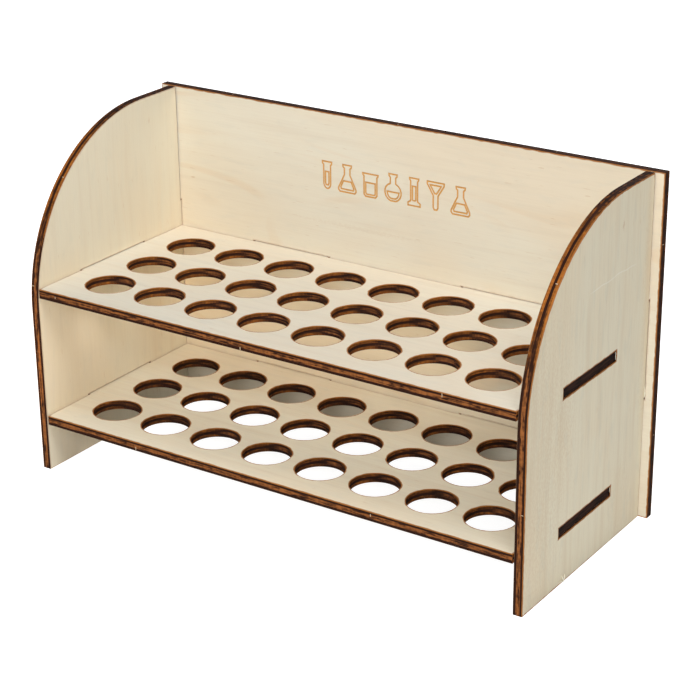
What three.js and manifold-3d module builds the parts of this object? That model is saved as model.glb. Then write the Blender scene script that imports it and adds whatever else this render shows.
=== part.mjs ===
import * as THREE from 'three';
import { mergeVertices } from 'three/addons/utils/BufferGeometryUtils.js';
import Module from 'manifold-3d';

const wasm = await Module();
wasm.setup();

// A test-tube rack cut from plywood sheet: two side panels with a rounded front top corner, a back
// panel, and two shelves with a matching grid of holes. Tabs on the shelves and sides sit in slots.
// Millimetres, +Z up, +X to the right, +Y towards the back panel. The origin is on the table, in
// the middle of the footprint.

// Driving dimensions.
const ply = 3; // sheet thickness
const width = 181.5; // back panel, end to end
const depth = 75.2; // front edge of the sides to the rear face of the back panel
const height = 109.8; // table to the top edge of the back panel
const backOverhang = 3; // back panel past the outer face of each side
const sideSetDown = 0.2; // top edge of the sides below the top edge of the back panel
const cornerRadius = 54.4; // rounded front top corner of each side
const lowerShelfTop = 18.65; // table to the lower shelf's upper face
const upperShelfTop = 61.7; // table to the upper shelf's upper face
const shelfSetBack = 0.35; // shelf front edge behind the front edge of the sides

// Holes for the tubes, the same on both shelves.
const holeDiameter = 15.2;
const leastWeb = 4; // least sheet left between two holes, which sets how many fit
const endMargin = 8.2; // shelf end to the rim of the nearest hole
const frontMargin = 7.8; // shelf front edge to the rim of the nearest hole
const rearMargin = 7.9; // shelf rear edge to the rim of the nearest hole

// Tabs, each centred on the edge it stands on, apart from the pair at each shelf's rear edge.
const sideTabLength = 31; // shelf tab through a side, along Y
const panelTabLength = 31; // side tab through the back panel, along Z
const rearTabLength = 29.3; // shelf tab through the back panel, along X
const rearTabOffset = 39.65; // middle of the shelf to the middle of a rear tab

// Clearances.
const seamGap = 0.1; // between the faces of two pieces at a seam
const slotEndGap = 0.4; // between a tab and its slot at each end
const slotFaceGap = 0.1; // between a tab and its slot on each face
const tabSetIn = 0.3; // tab end below the face that it comes out of
const shelfPlay = 0.7; // gaps at both ends of a shelf together
const shelfShift = -0.25; // shelf's middle from the rack's middle, along X

const arcSegments = 24;
const holeSegments = 24;

// Sizes that follow from them.
const innerWidth = width - 2 * (backOverhang + ply);
const sideMiddle = (innerWidth + ply) / 2; // rack's middle to the middle of a side's thickness
const sideHeight = height - sideSetDown;
const frontY = -depth / 2;
const backFaceY = depth / 2 - ply; // front face of the back panel
const rearSeamY = backFaceY - seamGap; // rear edge of the sides and shelves
const shelfFrontY = frontY + shelfSetBack;
const sideTabY = (shelfFrontY + rearSeamY) / 2; // middle of the shelves' side tabs
const panelTabZ = height / 2; // middle of the sides' rear tabs
const tabReach = ply - tabSetIn; // from the near face of the slotted panel to the tab's end
const shelfTops = [lowerShelfTop, upperShelfTop];

function solidFrom(geometry) {
  geometry.deleteAttribute('normal');
  geometry.deleteAttribute('uv');
  const merged = mergeVertices(geometry);
  return new wasm.Manifold(new wasm.Mesh({
    numProp: 3,
    vertProperties: merged.attributes.position.array,
    triVerts: new Uint32Array(merged.index.array),
  }));
}

// A block between two corners, such as a tab or the material that a slot takes out.
function block([x0, y0, z0], [x1, y1, z1]) {
  const geometry = new THREE.BoxGeometry(x1 - x0, y1 - y0, z1 - z0);
  geometry.translate((x0 + x1) / 2, (y0 + y1) / 2, (z0 + z1) / 2);
  return solidFrom(geometry);
}

function panelMesh(name, solid, color) {
  const { vertProperties, triVerts } = solid.getMesh();
  const geometry = new THREE.BufferGeometry();
  geometry.setAttribute('position', new THREE.BufferAttribute(vertProperties, 3));
  geometry.setIndex(new THREE.BufferAttribute(triVerts, 1));
  geometry.computeVertexNormals();
  const material = new THREE.MeshStandardMaterial({ color, roughness: 0.75, metalness: 0 });
  const mesh = new THREE.Mesh(geometry, material);
  mesh.name = name;
  return mesh;
}

// Side panel: its outline is drawn with x along +Y and y along +Z, and its thickness is along X.
function sidePanel(name, middleX) {
  const shape = new THREE.Shape();
  shape.moveTo(frontY, 0);
  shape.lineTo(rearSeamY, 0);
  shape.lineTo(rearSeamY, sideHeight);
  for (let i = 0; i <= arcSegments; i++) {
    const angle = Math.PI / 2 * (1 + i / arcSegments);
    const y = frontY + cornerRadius * (1 + Math.cos(angle));
    const z = sideHeight - cornerRadius * (1 - Math.sin(angle));
    shape.lineTo(y, z);
  }
  const geometry = new THREE.ExtrudeGeometry(shape, { depth: ply, bevelEnabled: false });
  geometry.rotateX(Math.PI / 2);
  geometry.rotateZ(Math.PI / 2);
  geometry.translate(middleX - ply / 2, 0, 0);
  let solid = solidFrom(geometry);

  const [lowX, highX] = [middleX - ply / 2, middleX + ply / 2];
  const rearTab = block(
    [lowX, rearSeamY - ply, panelTabZ - panelTabLength / 2],
    [highX, backFaceY + tabReach, panelTabZ + panelTabLength / 2],
  );
  solid = solid.add(rearTab);
  for (const shelfTop of shelfTops) {
    const slot = block(
      [lowX - ply, sideTabY - sideTabLength / 2 - slotEndGap, shelfTop - ply - slotFaceGap],
      [highX + ply, sideTabY + sideTabLength / 2 + slotEndGap, shelfTop + slotFaceGap],
    );
    solid = solid.subtract(slot);
  }
  return panelMesh(name, solid, 0xe6dcc4);
}

function backPanel() {
  let solid = block([-width / 2, backFaceY, 0], [width / 2, backFaceY + ply, height]);
  for (const hand of [-1, 1]) {
    const middleX = hand * sideMiddle;
    const sideSlot = block(
      [
        middleX - ply / 2 - slotFaceGap,
        backFaceY - ply,
        panelTabZ - panelTabLength / 2 - slotEndGap,
      ],
      [
        middleX + ply / 2 + slotFaceGap,
        backFaceY + 2 * ply,
        panelTabZ + panelTabLength / 2 + slotEndGap,
      ],
    );
    solid = solid.subtract(sideSlot);
    const tabX = shelfShift + hand * rearTabOffset;
    for (const shelfTop of shelfTops) {
      const shelfSlot = block(
        [
          tabX - rearTabLength / 2 - slotEndGap,
          backFaceY - ply,
          shelfTop - ply - slotFaceGap,
        ],
        [
          tabX + rearTabLength / 2 + slotEndGap,
          backFaceY + 2 * ply,
          shelfTop + slotFaceGap,
        ],
      );
      solid = solid.subtract(shelfSlot);
    }
  }
  return panelMesh('back_panel', solid, 0xf0e6d0);
}

// Centres of as many holes as fit between two limits, spread so that the end rims meet the limits.
function holeCentres(low, high) {
  const count = Math.floor((high - low + leastWeb) / (holeDiameter + leastWeb));
  const pitch = (high - low - holeDiameter) / (count - 1);
  return Array.from({ length: count }, (_, i) => low + holeDiameter / 2 + i * pitch);
}

function shelf(name, shelfTop) {
  const undersideZ = shelfTop - ply;
  const leftX = shelfShift - (innerWidth - shelfPlay) / 2;
  const rightX = shelfShift + (innerWidth - shelfPlay) / 2;
  const tabEndX = innerWidth / 2 + tabReach;

  let solid = block([leftX, shelfFrontY, undersideZ], [rightX, rearSeamY, shelfTop]);
  const sideTabs = block(
    [-tabEndX, sideTabY - sideTabLength / 2, undersideZ],
    [tabEndX, sideTabY + sideTabLength / 2, shelfTop],
  );
  solid = solid.add(sideTabs);
  for (const hand of [-1, 1]) {
    const tabX = shelfShift + hand * rearTabOffset;
    const rearTab = block(
      [tabX - rearTabLength / 2, rearSeamY - ply, undersideZ],
      [tabX + rearTabLength / 2, backFaceY + tabReach, shelfTop],
    );
    solid = solid.add(rearTab);
  }

  const radius = holeDiameter / 2;
  for (const x of holeCentres(leftX + endMargin, rightX - endMargin)) {
    for (const y of holeCentres(shelfFrontY + frontMargin, rearSeamY - rearMargin)) {
      const drill = new THREE.CylinderGeometry(radius, radius, 3 * ply, holeSegments);
      drill.rotateX(Math.PI / 2);
      drill.translate(x, y, undersideZ + ply / 2);
      solid = solid.subtract(solidFrom(drill));
    }
  }
  return panelMesh(name, solid, 0xe9dfca);
}

const rack = new THREE.Group();
rack.add(
  sidePanel('left_side', -sideMiddle),
  sidePanel('right_side', sideMiddle),
  backPanel(),
  shelf('lower_shelf', lowerShelfTop),
  shelf('upper_shelf', upperShelfTop),
);

export default rack;
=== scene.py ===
import math

import bmesh
import bpy
from mathutils import Matrix, Vector


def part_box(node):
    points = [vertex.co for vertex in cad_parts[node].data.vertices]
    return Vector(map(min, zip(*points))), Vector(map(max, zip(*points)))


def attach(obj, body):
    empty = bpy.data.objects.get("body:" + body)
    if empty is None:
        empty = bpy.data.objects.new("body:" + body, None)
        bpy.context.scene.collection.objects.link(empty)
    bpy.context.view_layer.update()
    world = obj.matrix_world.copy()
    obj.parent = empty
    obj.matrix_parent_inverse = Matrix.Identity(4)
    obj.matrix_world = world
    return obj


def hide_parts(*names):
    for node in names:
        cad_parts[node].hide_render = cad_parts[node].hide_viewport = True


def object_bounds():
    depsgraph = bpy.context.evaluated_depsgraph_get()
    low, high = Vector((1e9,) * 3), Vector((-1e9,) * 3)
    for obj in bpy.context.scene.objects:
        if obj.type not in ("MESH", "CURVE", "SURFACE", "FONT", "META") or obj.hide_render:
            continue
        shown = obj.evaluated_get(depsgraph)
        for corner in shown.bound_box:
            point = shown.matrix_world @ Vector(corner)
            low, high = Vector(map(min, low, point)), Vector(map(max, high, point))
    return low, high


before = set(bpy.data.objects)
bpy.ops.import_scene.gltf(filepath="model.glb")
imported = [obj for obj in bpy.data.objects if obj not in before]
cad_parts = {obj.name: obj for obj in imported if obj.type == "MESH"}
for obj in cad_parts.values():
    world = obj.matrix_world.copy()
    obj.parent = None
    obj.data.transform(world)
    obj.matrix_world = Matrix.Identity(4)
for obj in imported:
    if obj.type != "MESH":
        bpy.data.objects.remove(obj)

cadBox = [list(corner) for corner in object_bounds()]
mm = 0.001

# Camera, soft lights and the pale table.
studio = {
    "cameraAt": (0.32050, -0.46880, 0.28580),
    "cameraTurn": (67.218, -0.52, 33.854),  # tilt, roll, heading in degrees
    "lens": 104.03,
    "roomStrength": 0.025,
    "tableGlow": 0.19,  # what the table lends the wood
    "tableShine": 0.92,  # what is seen of it
    "tablePaint": 0.86,
    "tableRoughness": 0.9,
    "tableReach": 4.0,
    "underShare": 0.25,  # how much of its paint and glow the table keeps right under the rack, a painted shadow there
    "underEdge": (0.75, 1.05),  # where it fades out, over half the footprint
    "roomShine": 0.95,
    "lights": {  # place, aim, size, power in watts, colour
        "front": ((0.348, -0.906, 0.566), (0.0, 0.0, 0.05), 0.50, 5.3, (0.98, 1.0, 1.06)),
        "low": ((0.0, -1.063, 0.335), (0.0, 0.0, 0.05), 0.50, 0.5, (1.0, 0.92, 0.80)),
        "right": ((0.612, -0.354, 0.893), (0.0, 0.0, 0.05), 0.50, 3.1, (1.0, 1.0, 1.0)),
        "left": ((-0.641, -0.764, 0.515), (0.0, 0.0, 0.05), 0.50, 0.8, (0.98, 1.0, 1.06)),
        "overhead": ((0.05, -0.10, 0.45), (0.0, 0.0, 0.05), 0.25, 0.72, (0.98, 1.0, 1.06)),
        "rear": ((-0.683, 1.013, 0.495), (0.0, 0.0, 0.05), 1.20, 3.6, (0.98, 1.0, 1.06)),
        "behind": ((0.0, 1.20, 0.26), (0.0, 0.0, 0.05), 0.60, 5.5, (1.0, 1.0, 1.0)),
    },
    "strip": {  # low strip light that reaches in under the upper shelf
        "at": (0.000, -0.14, 0.040),
        "aim": (-0.060, 0.035, 0.039),
        "size": (0.17, 0.028),
        "spread": 16.0,
        "power": 0.0065,
        "colour": (1.0, 0.77, 0.50),
    },
}


# Adds a node, sets its properties, and links or fills its inputs by name or number.
def addNode(tree, kind, inputs=None, **settings):
    made = tree.nodes.new(kind)
    for key, value in settings.items():
        setattr(made, key, value)
    for key, value in (inputs or {}).items():
        if isinstance(value, bpy.types.NodeSocket):
            tree.links.new(value, made.inputs[key])
        else:
            made.inputs[key].default_value = value
    return made


# The pale table and room show brighter than the light they lend.
def seenOrLent(tree, socket, seen, lent):
    cameraRay = addNode(tree, "ShaderNodeLightPath").outputs["Is Camera Ray"]
    choose = addNode(tree, "ShaderNodeMix", {0: cameraRay, 2: lent, 3: seen})
    tree.links.new(choose.outputs[0], socket)


# The table lends less light from right under the rack, and its paint is darker there: a painted
# shadow.
def shadeUnderRack(tree, amount):
    def vector(operation, inputs):
        return addNode(tree, "ShaderNodeVectorMath", inputs, operation=operation).outputs[0]

    place = addNode(tree, "ShaderNodeTexCoord").outputs["Object"]
    overHalf = (1 / cadBox[1][0], 1 / cadBox[1][1], 0.0)
    share = vector("ABSOLUTE", {0: vector("MULTIPLY", {0: place, 1: overHalf})})
    parts = addNode(tree, "ShaderNodeSeparateXYZ", {0: share}).outputs
    most = addNode(tree, "ShaderNodeMath", {0: parts[0], 1: parts[1]}, operation="MAXIMUM")
    low, high = studio["underEdge"]
    fade = addNode(tree, "ShaderNodeMapRange", {
        "Value": most.outputs[0], "From Min": low, "From Max": high,
        "To Min": amount * studio["underShare"], "To Max": amount})
    return fade.outputs[0]


def placeCamera(scene):
    camera = bpy.data.objects.new("camera", bpy.data.cameras.new("camera"))
    camera.data.sensor_width = 36.0
    camera.data.lens = studio["lens"]
    camera.data.clip_start = 0.01
    camera.data.clip_end = 50.0
    tilt, roll, heading = (math.radians(angle) for angle in studio["cameraTurn"])
    turn = Matrix.Rotation(heading, 4, "Z") @ Matrix.Rotation(tilt, 4, "X")
    turn = turn @ Matrix.Rotation(roll, 4, "Z")
    camera.matrix_world = Matrix.Translation(studio["cameraAt"]) @ turn
    scene.collection.objects.link(camera)
    scene.camera = camera


def hangLight(scene, lamp, place, aim, power, colour):
    lamp.energy = power
    lamp.color = colour
    holder = bpy.data.objects.new(lamp.name, lamp)
    holder.location = place
    facing = Vector(aim) - Vector(place)
    holder.rotation_euler = facing.to_track_quat("-Z", "Y").to_euler()
    holder.visible_camera = False
    scene.collection.objects.link(holder)


def makeTable(scene):
    mesh = bpy.data.meshes.new("table_top")
    reach = studio["tableReach"]
    corners = [(-reach, -reach, 0), (reach, -reach, 0), (reach, reach, 0), (-reach, reach, 0)]
    mesh.from_pydata(corners, [], [(0, 1, 2, 3)])
    table = bpy.data.objects.new("table_top", mesh)
    scene.collection.objects.link(table)
    paint = bpy.data.materials.new("paleTable")
    paint.use_nodes = True
    tree = paint.node_tree
    shader = tree.nodes["Principled BSDF"]
    # painted shadow: the table's paint fades darker under the rack
    tree.links.new(shadeUnderRack(tree, studio["tablePaint"]), shader.inputs["Base Color"])
    shader.inputs["Roughness"].default_value = studio["tableRoughness"]
    shader.inputs["Emission Color"].default_value = (1.0, 1.0, 1.0, 1.0)
    glow = shadeUnderRack(tree, studio["tableGlow"])
    seenOrLent(tree, shader.inputs["Emission Strength"], studio["tableShine"], glow)
    mesh.materials.append(paint)


def makeStudio():
    scene = bpy.context.scene
    scene.view_settings.view_transform = "Standard"
    placeCamera(scene)

    for name, (place, aim, size, power, colour) in studio["lights"].items():
        lamp = bpy.data.lights.new(name, "AREA")
        lamp.shape = "DISK"
        lamp.size = size
        hangLight(scene, lamp, place, aim, power, colour)

    strip = studio["strip"]
    lamp = bpy.data.lights.new("strip", "AREA")
    lamp.shape = "RECTANGLE"
    lamp.size, lamp.size_y = strip["size"]
    lamp.spread = math.radians(strip["spread"])
    hangLight(scene, lamp, strip["at"], strip["aim"], strip["power"], strip["colour"])

    world = bpy.data.worlds.new("softRoom")
    scene.world = world
    world.use_nodes = True
    room = world.node_tree.nodes["Background"]
    room.inputs["Color"].default_value = (1.0, 1.0, 1.0, 1.0)
    strength = room.inputs["Strength"]
    seenOrLent(world.node_tree, strength, studio["roomShine"], studio["roomStrength"])
    makeTable(scene)


makeStudio()
print("studio ready")


# Plywood finish. Places are in metres: along the face grain, across it, and through the sheet.
woodLook = {
    "cream": (0.850, 0.785, 0.615),
    "peach": (0.850, 0.745, 0.555),
    "streak": (0.720, 0.600, 0.430),
    "grey": (0.690, 0.660, 0.540),
    "pore": (0.600, 0.400, 0.210),
    "figure": (0.800, 0.610, 0.390),
    "halo": (0.380, 0.138, 0.028),
    "charLong": (0.027, 0.008, 0.003),  # cut along the ply's grain
    "openFace": (0.420, 0.135, 0.020),  # end grain of a face ply
    "openCore": (0.355, 0.120, 0.030),
    # dark tones for laser soot, also used as painted shade on the recessed tab ends and slot walls
    "sootAndShade": (0.041, 0.013, 0.007),
    "sootDeepAndShade": (0.010, 0.004, 0.002),
    "rim": (0.450, 0.165, 0.034),
    "scratch": (1.000, 0.970, 0.870),
    "scoredLine": (0.640, 0.310, 0.060),
    "faceRoughness": 0.60,
    "cutRoughness": 0.92,
    "specular": 0.16,
    "coreShare": 0.467,  # half the core ply over half the sheet
    "bumpDepth": 0.00003,
}

# How strongly each layer covers what lies under it.
woodShare = {
    "clouds": 0.30,
    "figure": 0.34,
    "streaks": 0.26,
    "fibres": 0.13,
    "blotches": 0.16,
    "pores": 0.35,
    "scratch": 0.38,
    "scoredLine": 0.92,
    "halo": 0.97,
    "glueLine": 0.55,
}

# Noise in cycles a metre (along the grain, across it, through the sheet), detail and warp.
woodNoise = {
    "patches": ((10, 24, 500), 2.0, 0.5),
    "clouds": ((45, 90, 300), 3.0, 0.4),
    "contour": ((6, 30, 300), 1.0, 0.6),
    "wide": ((15, 36, 300), 1.0),
    "medium": ((16, 300, 700), 3.0, 0.2),
    "fine": ((60, 2300, 900), 3.0),
    "blotches": ((110, 420, 700), 3.0, 0.5),
    "dashes": ((260, 3000, 900), 0.0),
    "fleckEdge": ((900, 1500, 700), 2.0),
    "wander": ((60, 70, 300), 2.0),
    "burnSpots": ((2400, 2400, 800), 1.0),
    "uneven": ((380, 380, 300), 2.0),
    "ribs": ((1300, 1300, 60), 2.0),
    "layers": ((150, 150, 2600), 3.0),
    "mottle": ((480, 480, 1100), 3.0),
}


def shaderTools(tree):
    def value(kind, inputs, **settings):
        return addNode(tree, kind, inputs, **settings).outputs[0]

    def math2(operation, a, b=0.0, clamp=False):
        return value("ShaderNodeMath", {0: a, 1: b}, operation=operation, use_clamp=clamp)

    def ramp(source, low, high, start=0.0, end=1.0):
        inputs = {
            "Value": source, "From Min": low, "From Max": high, "To Min": start, "To Max": end}
        return value("ShaderNodeMapRange", inputs, interpolation_type="SMOOTHSTEP")

    def blendColour(factor, a, b, how="MIX"):
        def paint(colour):
            return colour if isinstance(colour, bpy.types.NodeSocket) else (*colour, 1.0)
        inputs = {0: factor, 6: paint(a), 7: paint(b)}
        return addNode(tree, "ShaderNodeMix", inputs, data_type="RGBA", blend_type=how).outputs[2]

    def blendValue(factor, a, b):
        return addNode(tree, "ShaderNodeMix", {0: factor, 2: a, 3: b}, data_type="FLOAT").outputs[0]

    def noise(place, stretch, detail=2.0, distortion=0.0):
        scaled = value("ShaderNodeVectorMath", {0: place, 1: stretch}, operation="MULTIPLY")
        inputs = {"Vector": scaled, "Scale": 1.0, "Detail": detail, "Distortion": distortion}
        return value("ShaderNodeTexNoise", inputs)

    return ramp, blendColour, noise, value, math2, blendValue


def plywoodFinish(name, tint, shift, figure, grain, openness, flecks, scratch=None):
    material = bpy.data.materials.new(name)
    material.use_nodes = True
    tree = material.node_tree
    ramp, blendColour, noise, value, math2, blendValue = shaderTools(tree)
    shader = tree.nodes["Principled BSDF"]

    def attribute(label, output="Fac"):
        return addNode(tree, "ShaderNodeAttribute", attribute_name=label).outputs[output]

    def pattern(label):
        return noise(place, *woodNoise[label])

    def move(operation, a, b):
        return value("ShaderNodeVectorMath", {0: a, 1: b}, operation=operation)

    onSheet = attribute("sheetPlace", "Vector")
    place = move("ADD", onSheet, shift)
    depth = attribute("acrossPly")
    away = math2("ABSOLUTE", depth)
    scorch = attribute("scorch")
    char = attribute("char")

    # Bare face: broad patches, growth figure, faint streaks and a few pores.
    colour = blendColour(ramp(pattern("patches"), 0.38, 0.62), woodLook["cream"], woodLook["peach"])
    clouds = ramp(pattern("clouds"), 0.40, 0.75, 0.0, woodShare["clouds"] * grain)
    colour = blendColour(clouds, colour, woodLook["peach"])
    rings = math2("SINE", math2("MULTIPLY", pattern("contour"), 60.0))
    figured = math2("MULTIPLY", ramp(rings, 0.55, 1.0), ramp(pattern("wide"), 0.50, 0.68))
    figured = math2("MULTIPLY", figured, woodShare["figure"] * figure)
    colour = blendColour(figured, colour, woodLook["figure"])
    medium = pattern("medium")
    streaks = ramp(medium, 0.46, 0.78, 0.0, woodShare["streaks"] * grain)
    colour = blendColour(streaks, colour, woodLook["streak"])
    fine = pattern("fine")
    fibres = ramp(fine, 0.40, 0.70, 0.0, woodShare["fibres"] * grain)
    colour = blendColour(fibres, colour, woodLook["streak"])
    blotches = ramp(pattern("blotches"), 0.50, 0.72, 0.0, woodShare["blotches"] * grain)
    colour = blendColour(blotches, colour, woodLook["grey"])
    dashes = ramp(pattern("dashes"), 0.79, 0.86)
    pores = math2("MULTIPLY", dashes, woodShare["pores"])
    colour = blendColour(pores, colour, woodLook["pore"])
    for along, across, length, breadth, strength in flecks:
        reach = (1 / (length * mm), 1 / (breadth * mm), 0.0)
        offset = move("SUBTRACT", onSheet, (along * mm, across * mm, 0.0))
        offset = move("MULTIPLY", offset, reach)
        span = addNode(tree, "ShaderNodeVectorMath", {0: offset}, operation="LENGTH")
        ragged = ramp(pattern("fleckEdge"), 0.3, 0.7, -0.3, 0.4)
        span = math2("ADD", span.outputs["Value"], ragged)
        colour = blendColour(ramp(span, 1.1, 0.2, 0.0, strength), colour, woodLook["pore"])
    colour = blendColour(1.0, colour, tint, "MULTIPLY")
    if scratch:
        along, start, end = (part * mm for part in scratch)
        parts = addNode(tree, "ShaderNodeSeparateXYZ", {0: onSheet}).outputs
        wander = ramp(pattern("wander"), 0.2, 0.8, -0.0006, 0.0006)
        line = math2("ABSOLUTE", math2("SUBTRACT", parts[0], math2("ADD", wander, along)))
        fadeIn = ramp(parts[1], start, start + 0.004)
        fadeOut = ramp(parts[1], end, end - 0.006)
        span = math2("MULTIPLY", math2("MULTIPLY", fadeIn, fadeOut), ramp(depth, 0.9, 1.0))
        line = ramp(line, 0.00028, 0.00006, 0.0, woodShare["scratch"])
        line = math2("MULTIPLY", line, span)
        colour = blendColour(line, colour, woodLook["scratch"])

    # Scored lines, and the brown halo beside every cut.
    burnSpots = ramp(pattern("burnSpots"), 0.40, 0.75, 0.0, 0.30)
    line = blendColour(burnSpots, woodLook["scoredLine"], woodLook["halo"])
    onLine = math2("MULTIPLY", attribute("scoredLine"), woodShare["scoredLine"])
    colour = blendColour(onLine, colour, line)
    haze = math2("ADD", scorch, ramp(pattern("uneven"), 0.3, 0.7, -0.24, 0.14))
    haze = ramp(haze, 0.12, 0.62, 0.0, woodShare["halo"])
    haze = math2("MULTIPLY", haze, ramp(char, -1.0, 0.0, 0.2, 1.0))
    haze = math2("MULTIPLY", haze, ramp(depth, -1.0, 0.0, 0.35, 1.0))
    colour = blendColour(haze, colour, woodLook["halo"])

    # Cut wall: each ply chars dark along its grain, and stays orange-brown where its ends are open.
    endGrain = ramp(attribute("endGrain"), 0.08, 0.72)
    ribs, layers, mottle = pattern("ribs"), pattern("layers"), pattern("mottle")
    coreShare = woodLook["coreShare"]
    fromCore = math2("SUBTRACT", away, blendValue(endGrain, coreShare - 0.03, coreShare - 0.20))
    core = ramp(fromCore, 0.04, -0.04)
    openEnd = blendValue(core, endGrain, math2("SUBTRACT", 1.0, endGrain))
    spread = ramp(layers, 0.34, 0.66, -0.62, 0.26)
    spread = math2("ADD", spread, ramp(mottle, 0.34, 0.66, -0.34, 0.20))
    spread = math2("MULTIPLY", spread, blendValue(openEnd, 0.45, 1.0))
    spread = math2("MULTIPLY", spread, blendValue(core, 0.6, 1.0))
    openEnd = ramp(math2("ADD", openEnd, spread), 0.15, 1.05, 0.0, openness)
    openEnd = math2("MULTIPLY", openEnd, ramp(ribs, 0.34, 0.66, 0.70, 1.0))
    openColour = blendColour(core, woodLook["openFace"], woodLook["openCore"])
    burnt = blendColour(openEnd, woodLook["charLong"], openColour)
    glue = ramp(math2("ABSOLUTE", fromCore), 0.05, 0.015)
    burnt = blendColour(math2("MULTIPLY", glue, woodShare["glueLine"]), burnt, woodLook["sootAndShade"])
    # Soot and painted shade: where char is high, as on recessed tab ends, slot walls and the lower
    # shelf's holes, the wall is darkened to near black.
    sootedAndShaded = math2("MULTIPLY", char, 1.6)
    sootedAndShaded = math2("SUBTRACT", sootedAndShaded, ramp(mottle, 0.60, 0.34, 0.0, 0.6), clamp=True)
    sootAndShade = blendColour(ramp(layers, 0.40, 0.62), woodLook["sootDeepAndShade"], woodLook["sootAndShade"])
    burnt = blendColour(sootedAndShaded, burnt, sootAndShade)
    rim = math2("ADD", ramp(depth, 0.80, 0.92, 0.0, 0.9), ramp(depth, -0.92, -0.98, 0.0, 0.35))
    rim = math2("MULTIPLY", rim, ramp(char, 0.0, 1.0, 1.0, 0.4))
    rim = math2("MULTIPLY", rim, ramp(mottle, 0.30, 0.50, 0.7, 1.0))
    burnt = blendColour(rim, burnt, woodLook["rim"])
    onWall = ramp(away, 0.995, 0.965)
    colour = blendColour(onWall, colour, burnt)
    tree.links.new(colour, shader.inputs["Base Color"])

    faceRoughness = woodLook["faceRoughness"]
    rough = ramp(medium, 0.2, 0.8, faceRoughness - 0.06, faceRoughness + 0.08)
    rough = blendValue(onWall, rough, woodLook["cutRoughness"])
    tree.links.new(rough, shader.inputs["Roughness"])
    shader.inputs["Specular IOR Level"].default_value = woodLook["specular"]

    faceRelief = math2("ADD", math2("MULTIPLY", fine, 0.6), math2("MULTIPLY", dashes, -0.5))
    wallRelief = math2("MULTIPLY", math2("ADD", ribs, layers), 2.2)
    relief = blendValue(onWall, faceRelief, wallRelief)
    bump = addNode(tree, "ShaderNodeBump", {
        "Strength": 0.5, "Distance": woodLook["bumpDepth"], "Height": relief})
    tree.links.new(bump.outputs[0], shader.inputs["Normal"])
    return material


# Each sheet's tint, place in the pattern, and how strong its figure, grain and open ends are.
# A fleck is its place along and across the grain, half its length and breadth in mm, and strength.
sheetLooks = {
    "left_side": {
        "name": "plywoodLeftSide",
        "tint": (1.0, 0.99, 0.975),
        "shift": (0.31, 0.12, 0.0),
        "figure": 0.35, "grain": 0.9, "openness": 1.0,
        "flecks": [(101.5, 20.0, 1.4, 0.45, 0.30), (88.0, -2.0, 1.0, 0.5, 0.15)],
    },
    "right_side": {
        "name": "plywoodRightSide",
        "tint": (1.0, 0.985, 0.945),
        "shift": (0.77, 0.45, 0.2),
        "figure": 0.3, "grain": 1.7, "openness": 1.0,
        "flecks": [
            (99.1, 15.5, 2.2, 0.7, 0.42), (46.0, -42.0, 54.0, 34.0, 0.20),
            (52.0, -16.0, 14.0, 5.0, 0.10), (12.0, 20.0, 16.0, 7.0, 0.10),
            (70.0, 33.0, 50.0, 3.0, 0.14),
        ],
        "scratch": (85.1, -4.5, 27.0),  # height, then where it starts and ends across the grain
    },
    "back_panel": {
        "name": "plywoodBackPanel",
        "tint": (0.92, 0.91, 0.91),
        "shift": (1.37, 0.71, 0.4),
        "figure": 1.0, "grain": 1.0, "openness": 0.5,
        "flecks": [
            (-79.2, 79.4, 1.1, 0.35, 0.50), (-12.0, 73.5, 26.0, 1.1, 0.12),
            (40.0, 98.0, 1.6, 0.4, 0.2),
        ],
    },
    "lower_shelf": {
        "name": "plywoodLowerShelf",
        "tint": (0.985, 0.985, 0.99),
        "shift": (2.11, 0.93, 0.6),
        "figure": 0.4, "grain": 1.2, "openness": 0.9,
        "flecks": [(-60.0, 20.0, 2.0, 0.5, 0.2), (33.0, -33.0, 1.6, 0.4, 0.2)],
    },
    "upper_shelf": {
        "name": "plywoodUpperShelf",
        "tint": (0.91, 0.915, 0.95),
        "shift": (2.83, 1.27, 0.8),
        "figure": 0.4, "grain": 1.2, "openness": 0.9,
        "flecks": [(-20.0, -34.0, 1.4, 0.4, 0.2), (59.0, 9.0, 1.2, 0.4, 0.15)],
    },
}
finishes = {node: plywoodFinish(**look) for node, look in sheetLooks.items()}
print("finishes ready:", len(finishes))


# The laser's cut: how a wall steps in from the drawn line, from the show face to the other one.
cutEdge = {
    "sheet": 3.0,  # all in mm
    "scorchWidth": 0.62,
    "rimWidth": 0.11,
    "wall": [  # set in from the line, and down from the face to just past the glue line
        (0.08, 0.05), (0.06, 0.22), (0.06, 0.73), (0.11, 0.80), (0.07, 0.87),
    ],
    "wallMiddle": 0.04,
    "scoreWidth": 0.54,
    "scoreDepth": 0.12,
    "scoreFlat": 0.45,  # share of the groove's width that is its floor
    "holePoints": 56,
    "weld": 0.002,
    "sharpAngle": 24,  # degrees
}
noHoles = {
    "columns": 0,
    "rows": 0,
    "pitch": (0.0, 0.0),
    "middle": (0.0, 0.0),
    "radius": 1.0,
    "sootAndShade": 0.0,
}


def cutSteps():
    sheet = cutEdge["sheet"]
    down = [(cutEdge["scorchWidth"], 0.0), (cutEdge["rimWidth"], 0.0), *cutEdge["wall"]]
    upper = [(setIn, sheet - depth) for setIn, depth in down]
    return upper + [(cutEdge["wallMiddle"], sheet / 2)] + down[::-1]


def scoreSteps():
    half = cutEdge["scoreWidth"] / 2
    top = cutEdge["sheet"]
    floor = top - cutEdge["scoreDepth"]
    flat = half * cutEdge["scoreFlat"]
    return [(-half, top), (-flat, floor), (flat, floor), (half, top)]


def stepLine(name, steps):
    mesh = bpy.data.meshes.new(name)
    points = [(setIn * mm, depth * mm, 0.0) for setIn, depth in steps]
    mesh.from_pydata(points, [(i, i + 1) for i in range(len(points) - 1)], [])
    return bpy.data.objects.new(name, mesh)


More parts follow.
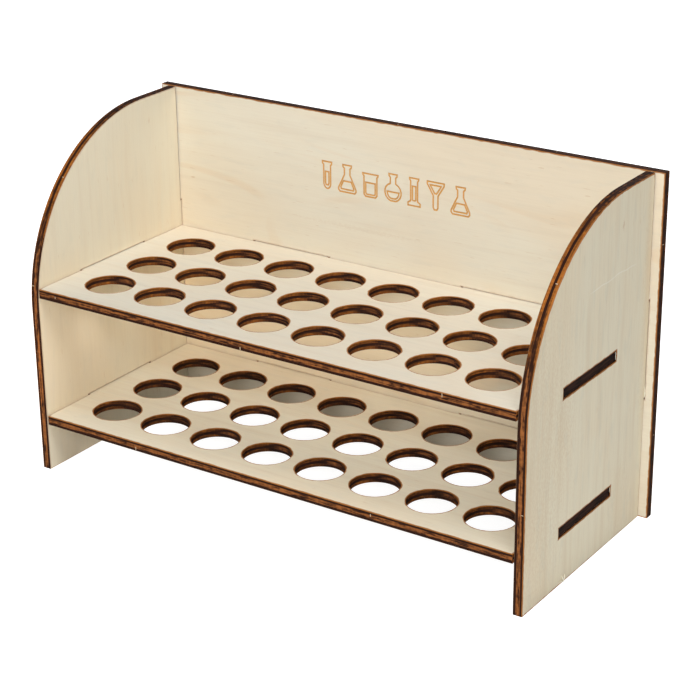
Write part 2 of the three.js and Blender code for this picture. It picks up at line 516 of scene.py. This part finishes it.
# Drawn outline in, closed sheet with its cut walls, grid of holes and scored lines out.
def cutSheetTree():
    tree = bpy.data.node_groups.new("cutSheet", "GeometryNodeTree")
    sockets = {}
    for label, kind in (
        ("Geometry", "Geometry"), ("Cut Steps", "Object"), ("Score Steps", "Object"),
        ("Sheet Thickness", "Float"), ("Scorch Width", "Float"), ("Rim Width", "Float"),
        ("Score Half Width", "Float"), ("Hole Columns", "Int"), ("Hole Rows", "Int"),
        ("Column Pitch", "Float"), ("Row Pitch", "Float"), ("Grid Middle", "Vector"),
        ("Hole Radius", "Float"), ("Hole Points", "Int"), ("Hole Soot", "Float"),
        ("Wood", "Material"),
    ):
        socket = tree.interface.new_socket(
            label, in_out="INPUT", socket_type="NodeSocket" + kind)
        sockets[label] = socket.identifier
    tree.interface.new_socket("Geometry", in_out="OUTPUT", socket_type="NodeSocketGeometry")
    given = addNode(tree, "NodeGroupInput").outputs

    def made(kind, inputs=None, **settings):
        return addNode(tree, kind, inputs, **settings).outputs[0]

    def named(label, kind):
        return made("GeometryNodeInputNamedAttribute", {"Name": label}, data_type=kind)

    def stored(geometry, label, source, kind="FLOAT", domain="POINT"):
        inputs = {"Geometry": geometry, "Name": label, "Value": source}
        return made("GeometryNodeStoreNamedAttribute", inputs, data_type=kind, domain=domain)

    def joined(*parts):
        join = addNode(tree, "GeometryNodeJoinGeometry")
        for part in reversed(parts):
            tree.links.new(part, join.inputs[0])
        return join.outputs[0]

    def vector(operation, a, b=None, scale=None):
        inputs = {0: a}
        if b is not None:
            inputs[1] = b
        if scale is not None:
            inputs["Scale"] = scale
        return made("ShaderNodeVectorMath", inputs, operation=operation)

    drawn = made("GeometryNodeMeshToCurve", {"Mesh": given["Geometry"]})
    marked = {0: named("scored", "FLOAT"), 1: 0.5}
    isScored = made("FunctionNodeCompare", marked, operation="GREATER_THAN")
    split = addNode(tree, "GeometryNodeSeparateGeometry", {0: drawn, 1: isScored}, domain="CURVE")
    scoreLines, sheetLines = split.outputs[0], split.outputs[1]

    # The grid of holes: one circle, which knows its way out, on each point of a grid.
    circle = made("GeometryNodeCurvePrimitiveCircle", {
        "Resolution": given["Hole Points"], "Radius": given["Hole Radius"]}, mode="RADIUS")
    outwards = vector("NORMALIZE", made("GeometryNodeInputPosition"))
    circle = stored(circle, "inset", outwards, "FLOAT_VECTOR")
    # hole walls: laser soot with painted shade
    circle = stored(circle, "char", given["Hole Soot"])

    def span(count, pitch):
        gaps = made("ShaderNodeMath", {0: given[count], 1: 1.0}, operation="SUBTRACT")
        return made("ShaderNodeMath", {0: gaps, 1: given[pitch]}, operation="MULTIPLY")

    grid = made("GeometryNodeMeshGrid", {
        "Size X": span("Hole Columns", "Column Pitch"), "Size Y": span("Hole Rows", "Row Pitch"),
        "Vertices X": given["Hole Columns"], "Vertices Y": given["Hole Rows"]})
    grid = made("GeometryNodeTransform", {"Geometry": grid, "Translation": given["Grid Middle"]})
    holes = made("GeometryNodeInstanceOnPoints", {"Points": grid, "Instance": circle})
    holes = made("GeometryNodeRealizeInstances", {"Geometry": holes})
    cutLines = joined(sheetLines, holes)

    inset = named("inset", "FLOAT_VECTOR")
    step = named("step", "FLOAT_VECTOR")

    def stepped(lines, steps):
        line = addNode(tree, "GeometryNodeObjectInfo", {"Object": given[steps]}).outputs["Geometry"]
        line = made("GeometryNodeMeshToCurve", {"Mesh": line})
        line = stored(line, "step", made("GeometryNodeInputPosition"), "FLOAT_VECTOR")
        line = made("GeometryNodeTransform", {"Geometry": line, "Scale": (0.0, 0.0, 0.0)})
        wall = made("GeometryNodeCurveToMesh", {"Curve": lines, "Profile Curve": line})
        parts = addNode(tree, "ShaderNodeSeparateXYZ", {0: step}).outputs
        up = made("ShaderNodeCombineXYZ", {"Z": parts[1]})
        offset = vector("ADD", vector("SCALE", inset, scale=parts[0]), up)
        return made("GeometryNodeSetPosition", {"Geometry": wall, "Offset": offset}), parts

    walls, parts = stepped(cutLines, "Cut Steps")
    across = made("ShaderNodeMapRange", {
        "Value": parts[1], "From Max": given["Sheet Thickness"], "To Min": -1.0, "To Max": 1.0})
    walls = stored(walls, "acrossPly", across)
    burn = made("ShaderNodeMapRange", {
        "Value": parts[0], "From Min": given["Scorch Width"], "From Max": given["Rim Width"]})
    walls = stored(walls, "scorch", burn)
    facing = addNode(tree, "ShaderNodeSeparateXYZ", {0: made("GeometryNodeInputNormal")}).outputs[0]
    facing = made("ShaderNodeMath", {0: facing}, operation="ABSOLUTE")
    walls = stored(walls, "endGrain", facing, domain="FACE")

    grooves = stepped(scoreLines, "Score Steps")[0]
    one = made("ShaderNodeValue")
    one.default_value = 1.0
    grooves = stored(grooves, "acrossPly", one)
    grooves = stored(grooves, "scoredLine", one, domain="FACE")

    # The two faces, filled between the innermost steps of the walls.
    def shifted(lines, distance):
        return made("GeometryNodeSetPosition", {
            "Geometry": lines, "Offset": vector("SCALE", inset, scale=distance)})

    edges = shifted(cutLines, given["Scorch Width"])
    halfLine = given["Score Half Width"]
    minusHalf = made("ShaderNodeMath", {0: halfLine, 1: -1.0}, operation="MULTIPLY")
    allEdges = joined(edges, shifted(scoreLines, halfLine), shifted(scoreLines, minusHalf))
    showFace = made("GeometryNodeFillCurve", {"Curve": allEdges})
    lift = made("ShaderNodeCombineXYZ", {"Z": given["Sheet Thickness"]})
    showFace = made("GeometryNodeTransform", {"Geometry": showFace, "Translation": lift})
    showFace = stored(showFace, "acrossPly", one)
    farFace = made("GeometryNodeFillCurve", {"Curve": edges})
    minusOne = made("ShaderNodeMath", {0: one, 1: -1.0}, operation="MULTIPLY")
    farFace = stored(farFace, "acrossPly", minusOne)

    whole = joined(walls, grooves, showFace, farFace)
    whole = stored(whole, "sheetPlace", made("GeometryNodeInputPosition"), "FLOAT_VECTOR")
    weld = cutEdge["weld"] * mm
    whole = made("GeometryNodeMergeByDistance", {"Geometry": whole, "Distance": weld})
    for label in ("inset", "step", "scored"):
        whole = made("GeometryNodeRemoveAttribute", {"Geometry": whole, "Name": label})
    whole = made("GeometryNodeRealizeInstances", {"Geometry": whole})
    whole = made("GeometryNodeSetMaterial", {"Geometry": whole, "Material": given["Wood"]})
    addNode(tree, "NodeGroupOutput", {0: whole})
    return tree, sockets


# Mitred directions into the sheet at each point of a closed line that has the sheet on its left.
def insetsOf(loop):
    found = []
    for i, point in enumerate(loop):
        before, after = loop[i - 1], loop[(i + 1) % len(loop)]
        one = Vector((point[0] - before[0], point[1] - before[1])).normalized()
        two = Vector((after[0] - point[0], after[1] - point[1])).normalized()
        left, right = Vector((-one.y, one.x)), Vector((-two.y, two.x))
        found.append((left + right) / (1.0 + left.dot(right)))
    return found


def areaOf(loop):
    return sum(a[0] * b[1] - b[0] * a[1] for a, b in zip(loop, loop[1:] + loop[:1])) / 2


# Lines are (along, across, char) in mm: soot, with painted shade on recessed joints. The first is
# the outline, the next ones are slots.
def drawSheet(name, outline, slots, scored=()):
    lines = [outline if areaOf(outline) > 0 else outline[::-1]]
    lines += [slot if areaOf(slot) < 0 else slot[::-1] for slot in slots]
    lines += list(scored)
    points, edges, insets, chars, marks = [], [], [], [], []
    for number, line in enumerate(lines):
        first = len(points)
        points += [(along * mm, across * mm, 0.0) for along, across, char in line]
        edges += [(first + i, first + (i + 1) % len(line)) for i in range(len(line))]
        insets += insetsOf(line)
        chars += [char for along, across, char in line]
        marks += [1.0 if number > len(slots) else 0.0] * len(line)
    mesh = bpy.data.meshes.new(name)
    mesh.from_pydata(points, edges, [])
    for label, kind, values in (
        ("inset", "FLOAT_VECTOR", [part for inset in insets for part in (*inset, 0.0)]),
        ("char", "FLOAT", chars),
        ("scored", "FLOAT", marks),
    ):
        key = "vector" if kind == "FLOAT_VECTOR" else "value"
        mesh.attributes.new(label, kind, "POINT").data.foreach_set(key, values)
    piece = bpy.data.objects.new(name, mesh)
    bpy.context.scene.collection.objects.link(piece)
    return piece


sheetTree, sheetSockets = cutSheetTree()
cutLine = stepLine("cutSteps", cutSteps())
scoreLine = stepLine("scoreSteps", scoreSteps())


# Runs a piece's node tree and leaves the result as its plain, closed mesh.
def settle(piece, tree, sockets, values, turn=None):
    modifier = piece.modifiers.new(tree.name, "NODES")
    modifier.node_group = tree
    for label, setting in values.items():
        modifier[sockets[label]] = setting
    bpy.context.view_layer.update()
    graph = bpy.context.evaluated_depsgraph_get()
    mesh = bpy.data.meshes.new_from_object(
        piece.evaluated_get(graph), preserve_all_data_layers=True, depsgraph=graph)
    piece.modifiers.remove(modifier)
    piece.data = mesh
    mesh.name = piece.name
    if turn is not None:
        mesh.transform(turn)
    work = bmesh.new()
    work.from_mesh(mesh)
    bmesh.ops.recalc_face_normals(work, faces=work.faces)
    openEdges = sum(not edge.is_manifold for edge in work.edges)
    work.to_mesh(mesh)
    work.free()
    mesh.set_sharp_from_angle(angle=math.radians(cutEdge["sharpAngle"]))
    triangles = sum(len(face.vertices) - 2 for face in mesh.polygons)
    print(f"{piece.name}: {triangles} triangles, {openEdges} open edges")


def cutPiece(piece, node, turn, grid=noHoles):
    settle(piece, sheetTree, sheetSockets, {
        "Cut Steps": cutLine,
        "Score Steps": scoreLine,
        "Sheet Thickness": cutEdge["sheet"] * mm,
        "Scorch Width": cutEdge["scorchWidth"] * mm,
        "Rim Width": cutEdge["rimWidth"] * mm,
        "Score Half Width": cutEdge["scoreWidth"] / 2 * mm,
        "Hole Columns": grid["columns"],
        "Hole Rows": grid["rows"],
        "Column Pitch": grid["pitch"][0] * mm,
        "Row Pitch": grid["pitch"][1] * mm,
        "Grid Middle": (grid["middle"][0] * mm, grid["middle"][1] * mm, 0.0),
        "Hole Radius": grid["radius"] * mm,
        "Hole Points": cutEdge["holePoints"],
        "Hole Soot": grid["sootAndShade"],
        "Wood": finishes[node],
    }, turn)
    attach(piece, "root")
    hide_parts(node)


# Turns sheet directions (along the grain, across it, through the sheet) to the rack's.
def sheetTurn(along, across, through, origin):
    turn = Matrix.Identity(4)
    for column, direction in enumerate((along, across, through, origin)):
        turn.col[column].xyz = direction
    return turn


def rectangle(low, high, char=0.0):
    (a, b), (c, d) = low, high
    return [(a, b, char), (c, b, char), (c, d, char), (a, d, char)]


sheet = cutEdge["sheet"]
backLow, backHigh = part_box("back_panel")
frontFace = backLow.y / mm  # back panel's front face
joints = {  # gaps and tabs in mm, the same in every sheet
    "seamGap": 0.1,
    "slotEndGap": 0.4,
    "slotFaceGap": 0.1,
    "tabSetIn": 0.3,
    "sideTabLength": 31.0,
    "panelTabLength": 31.0,
    "rearTabLength": 29.3,
    "rearTabOffset": 39.65,
}
rearSeam = frontFace - joints["seamGap"]
tabEnd = frontFace + sheet - joints["tabSetIn"]
edgeCharAndShade = {  # soot and painted shade on each kind of edge, from 0 to 1; below 0 also hides the brown halo
    "plain": 0.0,
    "seam": -1.0,
    # tab ends and side slot walls: laser soot plus painted shade of the recessed joints, near black
    "tab": 1.0,
    "sideSlot": 0.7,
    "backPanel": 0.6,
}
shelfTops = [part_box(name)[1].z / mm for name in ("lower_shelf", "upper_shelf")]
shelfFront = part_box("upper_shelf")[0].y / mm
sideTabMiddle = (shelfFront + rearSeam) / 2

# Side panels: grain runs up, the show face is the outer one.
side = {
    "cornerRadius": 54.4,
    "arcPoints": 72,
    "archChar": 0.68,  # soot at the top of the arch
    "archCharFrom": 0.52,  # share of the arc where it begins
    "archCharOver": 0.36,
    "rearEaseTop": 0.26,  # rear edge eases off the back panel towards the top
    "rearEaseBelow": 3.0,
}


def drawSide(name):
    low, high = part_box(name)
    front, top = low.y / mm, high.z / mm
    radius = side["cornerRadius"]
    rearTop = rearSeam - side["rearEaseTop"]
    middle = (backHigh.z / mm) / 2
    half = joints["panelTabLength"] / 2
    seam, tab = edgeCharAndShade["seam"], edgeCharAndShade["tab"]
    outline = [(0.0, front, edgeCharAndShade["plain"])]
    for i in range(side["arcPoints"] + 1):
        share = i / side["arcPoints"]
        angle = math.pi / 2 * i / side["arcPoints"]
        burnt = max(0.0, share - side["archCharFrom"]) / side["archCharOver"]
        height = top - radius * (1 - math.sin(angle))
        back = front + radius * (1 - math.cos(angle))
        outline.append((height, back, side["archChar"] * min(1.0, burnt)))
    outline += [
        (top, rearTop, side["archChar"]),
        (top - side["rearEaseBelow"], rearTop, seam),
        (middle + half, rearSeam, seam),
        (middle + half, tabEnd, tab),
        (middle - half, tabEnd, tab),
        (middle - half, rearSeam, seam),
        (0.0, rearSeam, seam),
    ]
    reach = joints["sideTabLength"] / 2 + joints["slotEndGap"]
    slots = []
    for shelfTop in shelfTops:
        low = (shelfTop - sheet - joints["slotFaceGap"], sideTabMiddle - reach)
        high = (shelfTop + joints["slotFaceGap"], sideTabMiddle + reach)
        slots.append(rectangle(low, high, edgeCharAndShade["sideSlot"]))
    return drawSheet(name + "_ply", outline, slots)


for name, outward in (("left_side", -1.0), ("right_side", 1.0)):
    low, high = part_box(name)
    inner = high.x if outward < 0 else low.x
    turn = sheetTurn((0, 0, 1), (0, 1, 0), (outward, 0, 0), (inner, 0, 0))
    cutPiece(drawSide(name), name, turn)

# Shelves: grain runs across the rack, the show face is the top.
shelf = {
    "play": 0.7,
    "shift": -0.25,
    "holeDiameter": 15.2,
    "columns": 8,
    "rows": 3,
    "endMargin": 8.2,
    "frontMargin": 7.8,
    "rearMargin": 7.9,
    "plainCorner": 2.0,  # end edge that shows at each front corner
    # hole walls: laser soot, with painted shade that makes the lower shelf's holes darker, as if
    # under the upper shelf
    "holeSootAndShade": {"lower_shelf": 0.50, "upper_shelf": 0.40},
}
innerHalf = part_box("right_side")[0].x / mm


def drawShelf(name):
    low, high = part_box(name)
    left = shelf["shift"] - innerHalf + shelf["play"] / 2
    right = shelf["shift"] + innerHalf - shelf["play"] / 2
    front = low.y / mm
    half = joints["sideTabLength"] / 2
    tabHalf = joints["rearTabLength"] / 2
    reach = high.x / mm
    seam, tab, plain = edgeCharAndShade["seam"], edgeCharAndShade["tab"], edgeCharAndShade["plain"]
    corner = front + shelf["plainCorner"]
    outline = [
        (left, front, plain), (right, front, plain), (right, corner, seam),
        (right, sideTabMiddle - half, seam), (reach, sideTabMiddle - half, tab),
        (reach, sideTabMiddle + half, tab), (right, sideTabMiddle + half, seam),
        (right, rearSeam, seam),
    ]
    for hand in (1, -1):
        middle = shelf["shift"] + hand * joints["rearTabOffset"]
        outline += [
            (middle + tabHalf, rearSeam, seam), (middle + tabHalf, tabEnd, tab),
            (middle - tabHalf, tabEnd, tab), (middle - tabHalf, rearSeam, seam),
        ]
    outline += [
        (left, rearSeam, seam),
        (left, sideTabMiddle + half, seam), (-reach, sideTabMiddle + half, tab),
        (-reach, sideTabMiddle - half, tab), (left, sideTabMiddle - half, seam),
        (left, corner, seam),
    ]
    radius = shelf["holeDiameter"] / 2
    columns, rows = shelf["columns"], shelf["rows"]
    firstX, lastX = left + shelf["endMargin"] + radius, right - shelf["endMargin"] - radius
    firstY = front + shelf["frontMargin"] + radius
    lastY = rearSeam - shelf["rearMargin"] - radius
    holes = {
        "columns": columns,
        "rows": rows,
        "pitch": ((lastX - firstX) / (columns - 1), (lastY - firstY) / (rows - 1)),
        "middle": ((firstX + lastX) / 2, (firstY + lastY) / 2),
        "radius": radius,
        "sootAndShade": shelf["holeSootAndShade"][name],
    }
    return drawSheet(name + "_ply", outline, []), holes


for name in ("lower_shelf", "upper_shelf"):
    piece, holes = drawShelf(name)
    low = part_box(name)[0]
    turn = sheetTurn((1, 0, 0), (0, 1, 0), (0, 0, 1), (0, 0, low.z))
    cutPiece(piece, name, turn, holes)

# A row of laboratory glass, scored in outline on the back panel. Half shapes in mm: (out, up).
glassware = {
    "span": 54.0,
    "foot": 84.9,
    "order": ("tube", "flask", "beaker", "bulb", "cylinder", "funnel", "flask"),
    "tube": [
        [(1.75, 8.9), (1.70, 8.2), (1.3, 7.8), (1.3, 1.5), (1.05, 0.75), (0.6, 0.25), (0.2, 0.05)],
        [(0.65, 5.6), (0.65, 1.9), (0.4, 1.25)],
    ],
    "flask": [
        [(1.6, 8.9), (1.55, 8.25), (1.05, 7.8), (1.05, 5.7), (3.25, 1.3), (3.3, 0.6), (2.8, 0.0)],
        [(1.45, 3.6), (2.45, 1.5), (2.25, 0.9)],
    ],
    "beaker": [
        [(2.85, 7.5), (2.75, 7.0), (2.4, 6.6), (2.4, 0.7), (1.8, 0.0)],
        [(1.75, 4.6), (1.75, 1.1), (1.4, 0.75)],
    ],
    "bulb": [
        [(1.5, 8.9), (1.45, 8.25), (1.0, 7.8), (1.0, 5.8), (1.9, 5.3), (2.6, 4.5),
         (2.95, 3.5), (2.95, 2.5), (2.6, 1.5), (1.9, 0.7), (1.0, 0.2)],
        [(2.15, 3.1), (2.0, 2.2), (1.5, 1.4), (0.75, 0.95)],
    ],
    "cylinder": [
        [(1.65, 8.9), (1.6, 8.4), (1.25, 7.9), (1.25, 1.5), (2.2, 0.9), (2.2, 0.0)],
        [(0.62, 6.3), (0.62, 2.0), (0.4, 1.7)],
    ],
    "funnel": [
        [(3.0, 8.9), (3.0, 8.1), (0.85, 4.6), (0.85, 0.8), (0.45, 0.1)],
        [(1.95, 7.9), (1.5, 7.1), (0.35, 5.3)],
    ],
}


def scoredGlass():
    shapes = [glassware[kind] for kind in glassware["order"]]
    widths = [2 * max(out for out, up in shape[0]) for shape in shapes]
    gap = (glassware["span"] - sum(widths)) / (len(shapes) - 1)
    at = -glassware["span"] / 2
    loops = []
    for shape, width in zip(shapes, widths):
        at += width / 2
        for half in shape:
            loop = [(at + out, glassware["foot"] + up) for out, up in half]
            loop += [(at - out, glassware["foot"] + up) for out, up in reversed(half)]
            loops.append([(x, z, 0.0) for x, z in loop])
        at += width / 2 + gap
    return loops


def drawBack():
    low, high = backLow / mm, backHigh / mm
    outline = rectangle((low.x, low.z), (high.x, high.z), edgeCharAndShade["backPanel"])
    faceGap, endGap = joints["slotFaceGap"], joints["slotEndGap"]
    corners = []
    half = joints["panelTabLength"] / 2 + endGap
    for name in ("left_side", "right_side"):
        sideLow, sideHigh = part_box(name)
        middle = high.z / 2
        corners.append((
            (sideLow.x / mm - faceGap, middle - half),
            (sideHigh.x / mm + faceGap, middle + half)))
    half = joints["rearTabLength"] / 2 + endGap
    for hand in (-1, 1):
        middle = shelf["shift"] + hand * joints["rearTabOffset"]
        for shelfTop in shelfTops:
            corners.append((
                (middle - half, shelfTop - sheet - faceGap),
                (middle + half, shelfTop + faceGap)))
    slots = [rectangle(start, end, edgeCharAndShade["seam"]) for start, end in corners]
    return drawSheet("back_panel_ply", outline, slots, scoredGlass())


# The show face is the front one.
turn = sheetTurn((1, 0, 0), (0, 0, 1), (0, -1, 0), (0, backHigh.y, 0))
cutPiece(drawBack(), "back_panel", turn)

# Pale slivers where each sheet was snapped out of its board, and a few lifted fibres.
tornLook = {
    "fibre": ((0.950, 0.910, 0.740), (0.800, 0.660, 0.440)),  # pale and tan
    "snapped": ((0.540, 0.410, 0.265), (0.300, 0.170, 0.090)),
    "roughness": 0.78,
    "specular": 0.30,
    "bumpDepth": 0.00004,
    "fibreScale": 3200,
    "patchScale": 500,
}


def tornFinish(name, pale, tan):
    material = bpy.data.materials.new(name)
    material.use_nodes = True
    tree = material.node_tree
    ramp, blendColour, noise = shaderTools(tree)[:3]
    shader = tree.nodes["Principled BSDF"]
    place = addNode(tree, "ShaderNodeTexCoord").outputs["Object"]
    fibre = noise(place, (tornLook["fibreScale"],) * 3, 3.0, 0.5)
    patch = noise(place, (tornLook["patchScale"],) * 3, 2.0)
    colour = blendColour(ramp(fibre, 0.35, 0.75, 0.0, 0.5), pale, tan)
    colour = blendColour(ramp(patch, 0.45, 0.75, 0.0, 0.35), colour, tan)
    tree.links.new(colour, shader.inputs["Base Color"])
    low, high = tornLook["roughness"] - 0.08, tornLook["roughness"] + 0.08
    tree.links.new(ramp(fibre, 0.2, 0.8, low, high), shader.inputs["Roughness"])
    shader.inputs["Specular IOR Level"].default_value = tornLook["specular"]
    bump = addNode(tree, "ShaderNodeBump", {
        "Strength": 0.6, "Distance": tornLook["bumpDepth"], "Height": fibre})
    tree.links.new(bump.outputs[0], shader.inputs["Normal"])
    return material


snapTabs = {
    "size": (0.24, 0.20, 1.25),  # width, depth and length in mm
    "least": (0.7, 1.0, 0.45),  # shares of that size
    "most": (1.25, 1.0, 0.97),
    "inFromLine": 0.035,
    "roughness": 0.04,
    "roughnessScale": 6000.0,
    "seed": 7,
    "places": [  # place, outward, through the sheet
        ((-86.6, -37.6, 62.6), (0, -1, 0), (1, 0, 0)),
        ((86.95, -37.6, 31.5), (0, -1, 0), (1, 0, 0)),
        ((-78.1, -37.25, 60.3), (0, -1, 0), (0, 0, 1)),
        ((-7.4, -37.25, 59.2), (0, -1, 0), (0, 0, 1)),
        ((61.0, -37.25, 60.9), (0, -1, 0), (0, 0, 1)),
        ((-49.0, -37.25, 16.5), (0, -1, 0), (0, 0, 1)),
        ((37.5, -37.25, 17.6), (0, -1, 0), (0, 0, 1)),
        ((0.6, 35.6, 109.8), (0, 0, 1), (0, 1, 0)),
        ((-63.0, 36.6, 109.8), (0, 0, 1), (0, 1, 0)),
        ((55.0, 36.4, 109.8), (0, 0, 1), (0, 1, 0)),
        ((90.75, 36.4, 27.4), (1, 0, 0), (0, 1, 0)),
        ((90.75, 35.7, 88.0), (1, 0, 0), (0, 1, 0)),
        ((-90.75, 36.4, 41.0), (-1, 0, 0), (0, 1, 0)),
        ((-90.75, 35.6, 93.0), (-1, 0, 0), (0, 1, 0)),
        ((86.8, -21.667, 93.667), (0, -0.7071, 0.7071), (1, 0, 0)),
        ((-85.7, -21.667, 93.667), (0, -0.7071, 0.7071), (1, 0, 0)),
    ],
}


def snapTabTree():
    tree = bpy.data.node_groups.new("snapTabs", "GeometryNodeTree")
    sockets = {}
    for label, kind in (
        ("Geometry", "Geometry"), ("Sliver Size", "Vector"), ("Roughness", "Float"),
        ("Seed", "Int"), ("Wood", "Material"),
    ):
        socket = tree.interface.new_socket(
            label, in_out="INPUT", socket_type="NodeSocket" + kind)
        sockets[label] = socket.identifier
    tree.interface.new_socket("Geometry", in_out="OUTPUT", socket_type="NodeSocketGeometry")
    given = addNode(tree, "NodeGroupInput").outputs

    def made(kind, inputs, **settings):
        return addNode(tree, kind, inputs, **settings).outputs[0]

    block = made("GeometryNodeMeshCube", {
        "Size": given["Sliver Size"], "Vertices X": 3, "Vertices Y": 3, "Vertices Z": 9})
    turn = made("GeometryNodeInputNamedAttribute", {"Name": "turn"}, data_type="FLOAT_VECTOR")
    turn = made("FunctionNodeEulerToRotation", {0: turn})
    span = {0: snapTabs["least"], 1: snapTabs["most"], "Seed": given["Seed"]}
    stretch = made("FunctionNodeRandomValue", span, data_type="FLOAT_VECTOR")
    slivers = made("GeometryNodeInstanceOnPoints", {
        "Points": given["Geometry"], "Instance": block, "Rotation": turn, "Scale": stretch})
    slivers = made("GeometryNodeRealizeInstances", {0: slivers})
    rough = {"Scale": snapTabs["roughnessScale"], "Detail": 1.0}
    noise = addNode(tree, "ShaderNodeTexNoise", rough).outputs["Color"]
    centred = made("ShaderNodeVectorMath", {0: noise, 1: (0.5, 0.5, 0.5)}, operation="SUBTRACT")
    push = {0: centred, "Scale": given["Roughness"]}
    offset = made("ShaderNodeVectorMath", push, operation="SCALE")
    slivers = made("GeometryNodeSetPosition", {0: slivers, "Offset": offset})
    slivers = made("GeometryNodeRealizeInstances", {0: slivers})
    slivers = made("GeometryNodeSetMaterial", {0: slivers, "Material": given["Wood"]})
    addNode(tree, "NodeGroupOutput", {0: slivers})
    return tree, sockets


def makeSnapTabs(wood):
    points, turns = [], []
    sink = snapTabs["inFromLine"] + snapTabs["size"][1] / 2
    for place, outward, through in snapTabs["places"]:
        outward, through = Vector(outward), Vector(through)
        points.append((Vector(place) - outward * sink) * mm)
        axes = Matrix((outward.cross(through), outward, through)).transposed()
        turns += axes.to_euler()
    mesh = bpy.data.meshes.new("snap_tabs")
    mesh.from_pydata(points, [], [])
    mesh.attributes.new("turn", "FLOAT_VECTOR", "POINT").data.foreach_set("vector", turns)
    piece = bpy.data.objects.new("snap_tabs", mesh)
    bpy.context.scene.collection.objects.link(piece)
    tree, sockets = snapTabTree()
    settle(piece, tree, sockets, {
        "Sliver Size": tuple(size * mm for size in snapTabs["size"]),
        "Roughness": snapTabs["roughness"] * mm,
        "Seed": snapTabs["seed"],
        "Wood": wood,
    })
    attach(piece, "root")


looseFibres = {
    "sides": 5,
    "flatness": 0.7,
    "stepsEach": 4,  # rings between two points
    "tip": 0.15,  # least half width, over the strand's own
    "bulge": (0.08, 0.84),  # where the swelling starts and how far it runs
    "strands": [  # half width in mm, then the points that it follows
        (0.24, [(87.80, -14.9, 2.7), (88.15, -14.6, 1.8), (88.30, -14.1, 1.0),
                (88.10, -14.2, 0.35)]),
        (0.21, [(87.82, -12.8, 2.3), (88.18, -13.4, 1.6), (88.24, -14.0, 0.85)]),
        (0.16, [(87.80, -16.2, 1.3), (88.05, -15.3, 0.9), (88.15, -14.4, 0.7)]),
        (0.20, [(87.80, 34.25, 43.4), (88.00, 34.38, 42.2), (88.08, 34.40, 41.0),
                (87.96, 34.30, 39.9)]),
        (0.09, [(87.80, 34.20, 41.8), (87.95, 34.10, 40.8), (87.90, 34.15, 40.0)]),
        (0.09, [(87.66, 14.05, 61.6), (87.72, 14.25, 60.9), (87.66, 14.10, 60.0)]),
        (0.08, [(87.64, 14.35, 60.6), (87.70, 14.20, 59.8), (87.66, 14.30, 59.0)]),
        (0.08, [(87.66, 14.30, 18.5), (87.71, 14.15, 17.7), (87.66, 14.25, 16.8)]),
    ],
}


# A tapered strand through its points, closed at both ends.
def strand(work, halfWidth, points):
    path = [Vector(point) * mm for point in points]
    steps = looseFibres["stepsEach"] * (len(path) - 1)
    start, run = looseFibres["bulge"]
    rings = []
    for i in range(steps + 1):
        at = i / steps * (len(path) - 1)
        first = min(int(at), len(path) - 2)
        here = path[first].lerp(path[first + 1], at - first)
        ahead = (path[first + 1] - path[first]).normalized()
        sideways = ahead.cross(Vector((1, 0, 0))).normalized()
        lift = sideways.cross(ahead)
        swelling = math.sin(math.pi * (start + run * i / steps))
        size = halfWidth * mm * (looseFibres["tip"] + swelling)
        ring = []
        for j in range(looseFibres["sides"]):
            angle = math.tau * j / looseFibres["sides"]
            out = sideways * math.cos(angle) * size
            up = lift * math.sin(angle) * size * looseFibres["flatness"]
            ring.append(work.verts.new(here + out + up))
        rings.append(ring)
    for one, two in zip(rings, rings[1:]):
        for j in range(len(one)):
            k = (j + 1) % len(one)
            work.faces.new((one[j], one[k], two[k], two[j]))
    work.faces.new(rings[0][::-1])
    work.faces.new(rings[-1])


def makeLooseFibres(wood):
    work = bmesh.new()
    for halfWidth, points in looseFibres["strands"]:
        strand(work, halfWidth, points)
    bmesh.ops.recalc_face_normals(work, faces=work.faces)
    mesh = bpy.data.meshes.new("loose_fibres")
    work.to_mesh(mesh)
    work.free()
    mesh.materials.append(wood)
    mesh.shade_smooth()
    piece = bpy.data.objects.new("loose_fibres", mesh)
    bpy.context.scene.collection.objects.link(piece)
    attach(piece, "root")


makeSnapTabs(tornFinish("snappedWood", *tornLook["snapped"]))
makeLooseFibres(tornFinish("looseFibre", *tornLook["fibre"]))
print("torn edges ready")

for spare in (cutLine, scoreLine):
    bpy.data.objects.remove(spare)
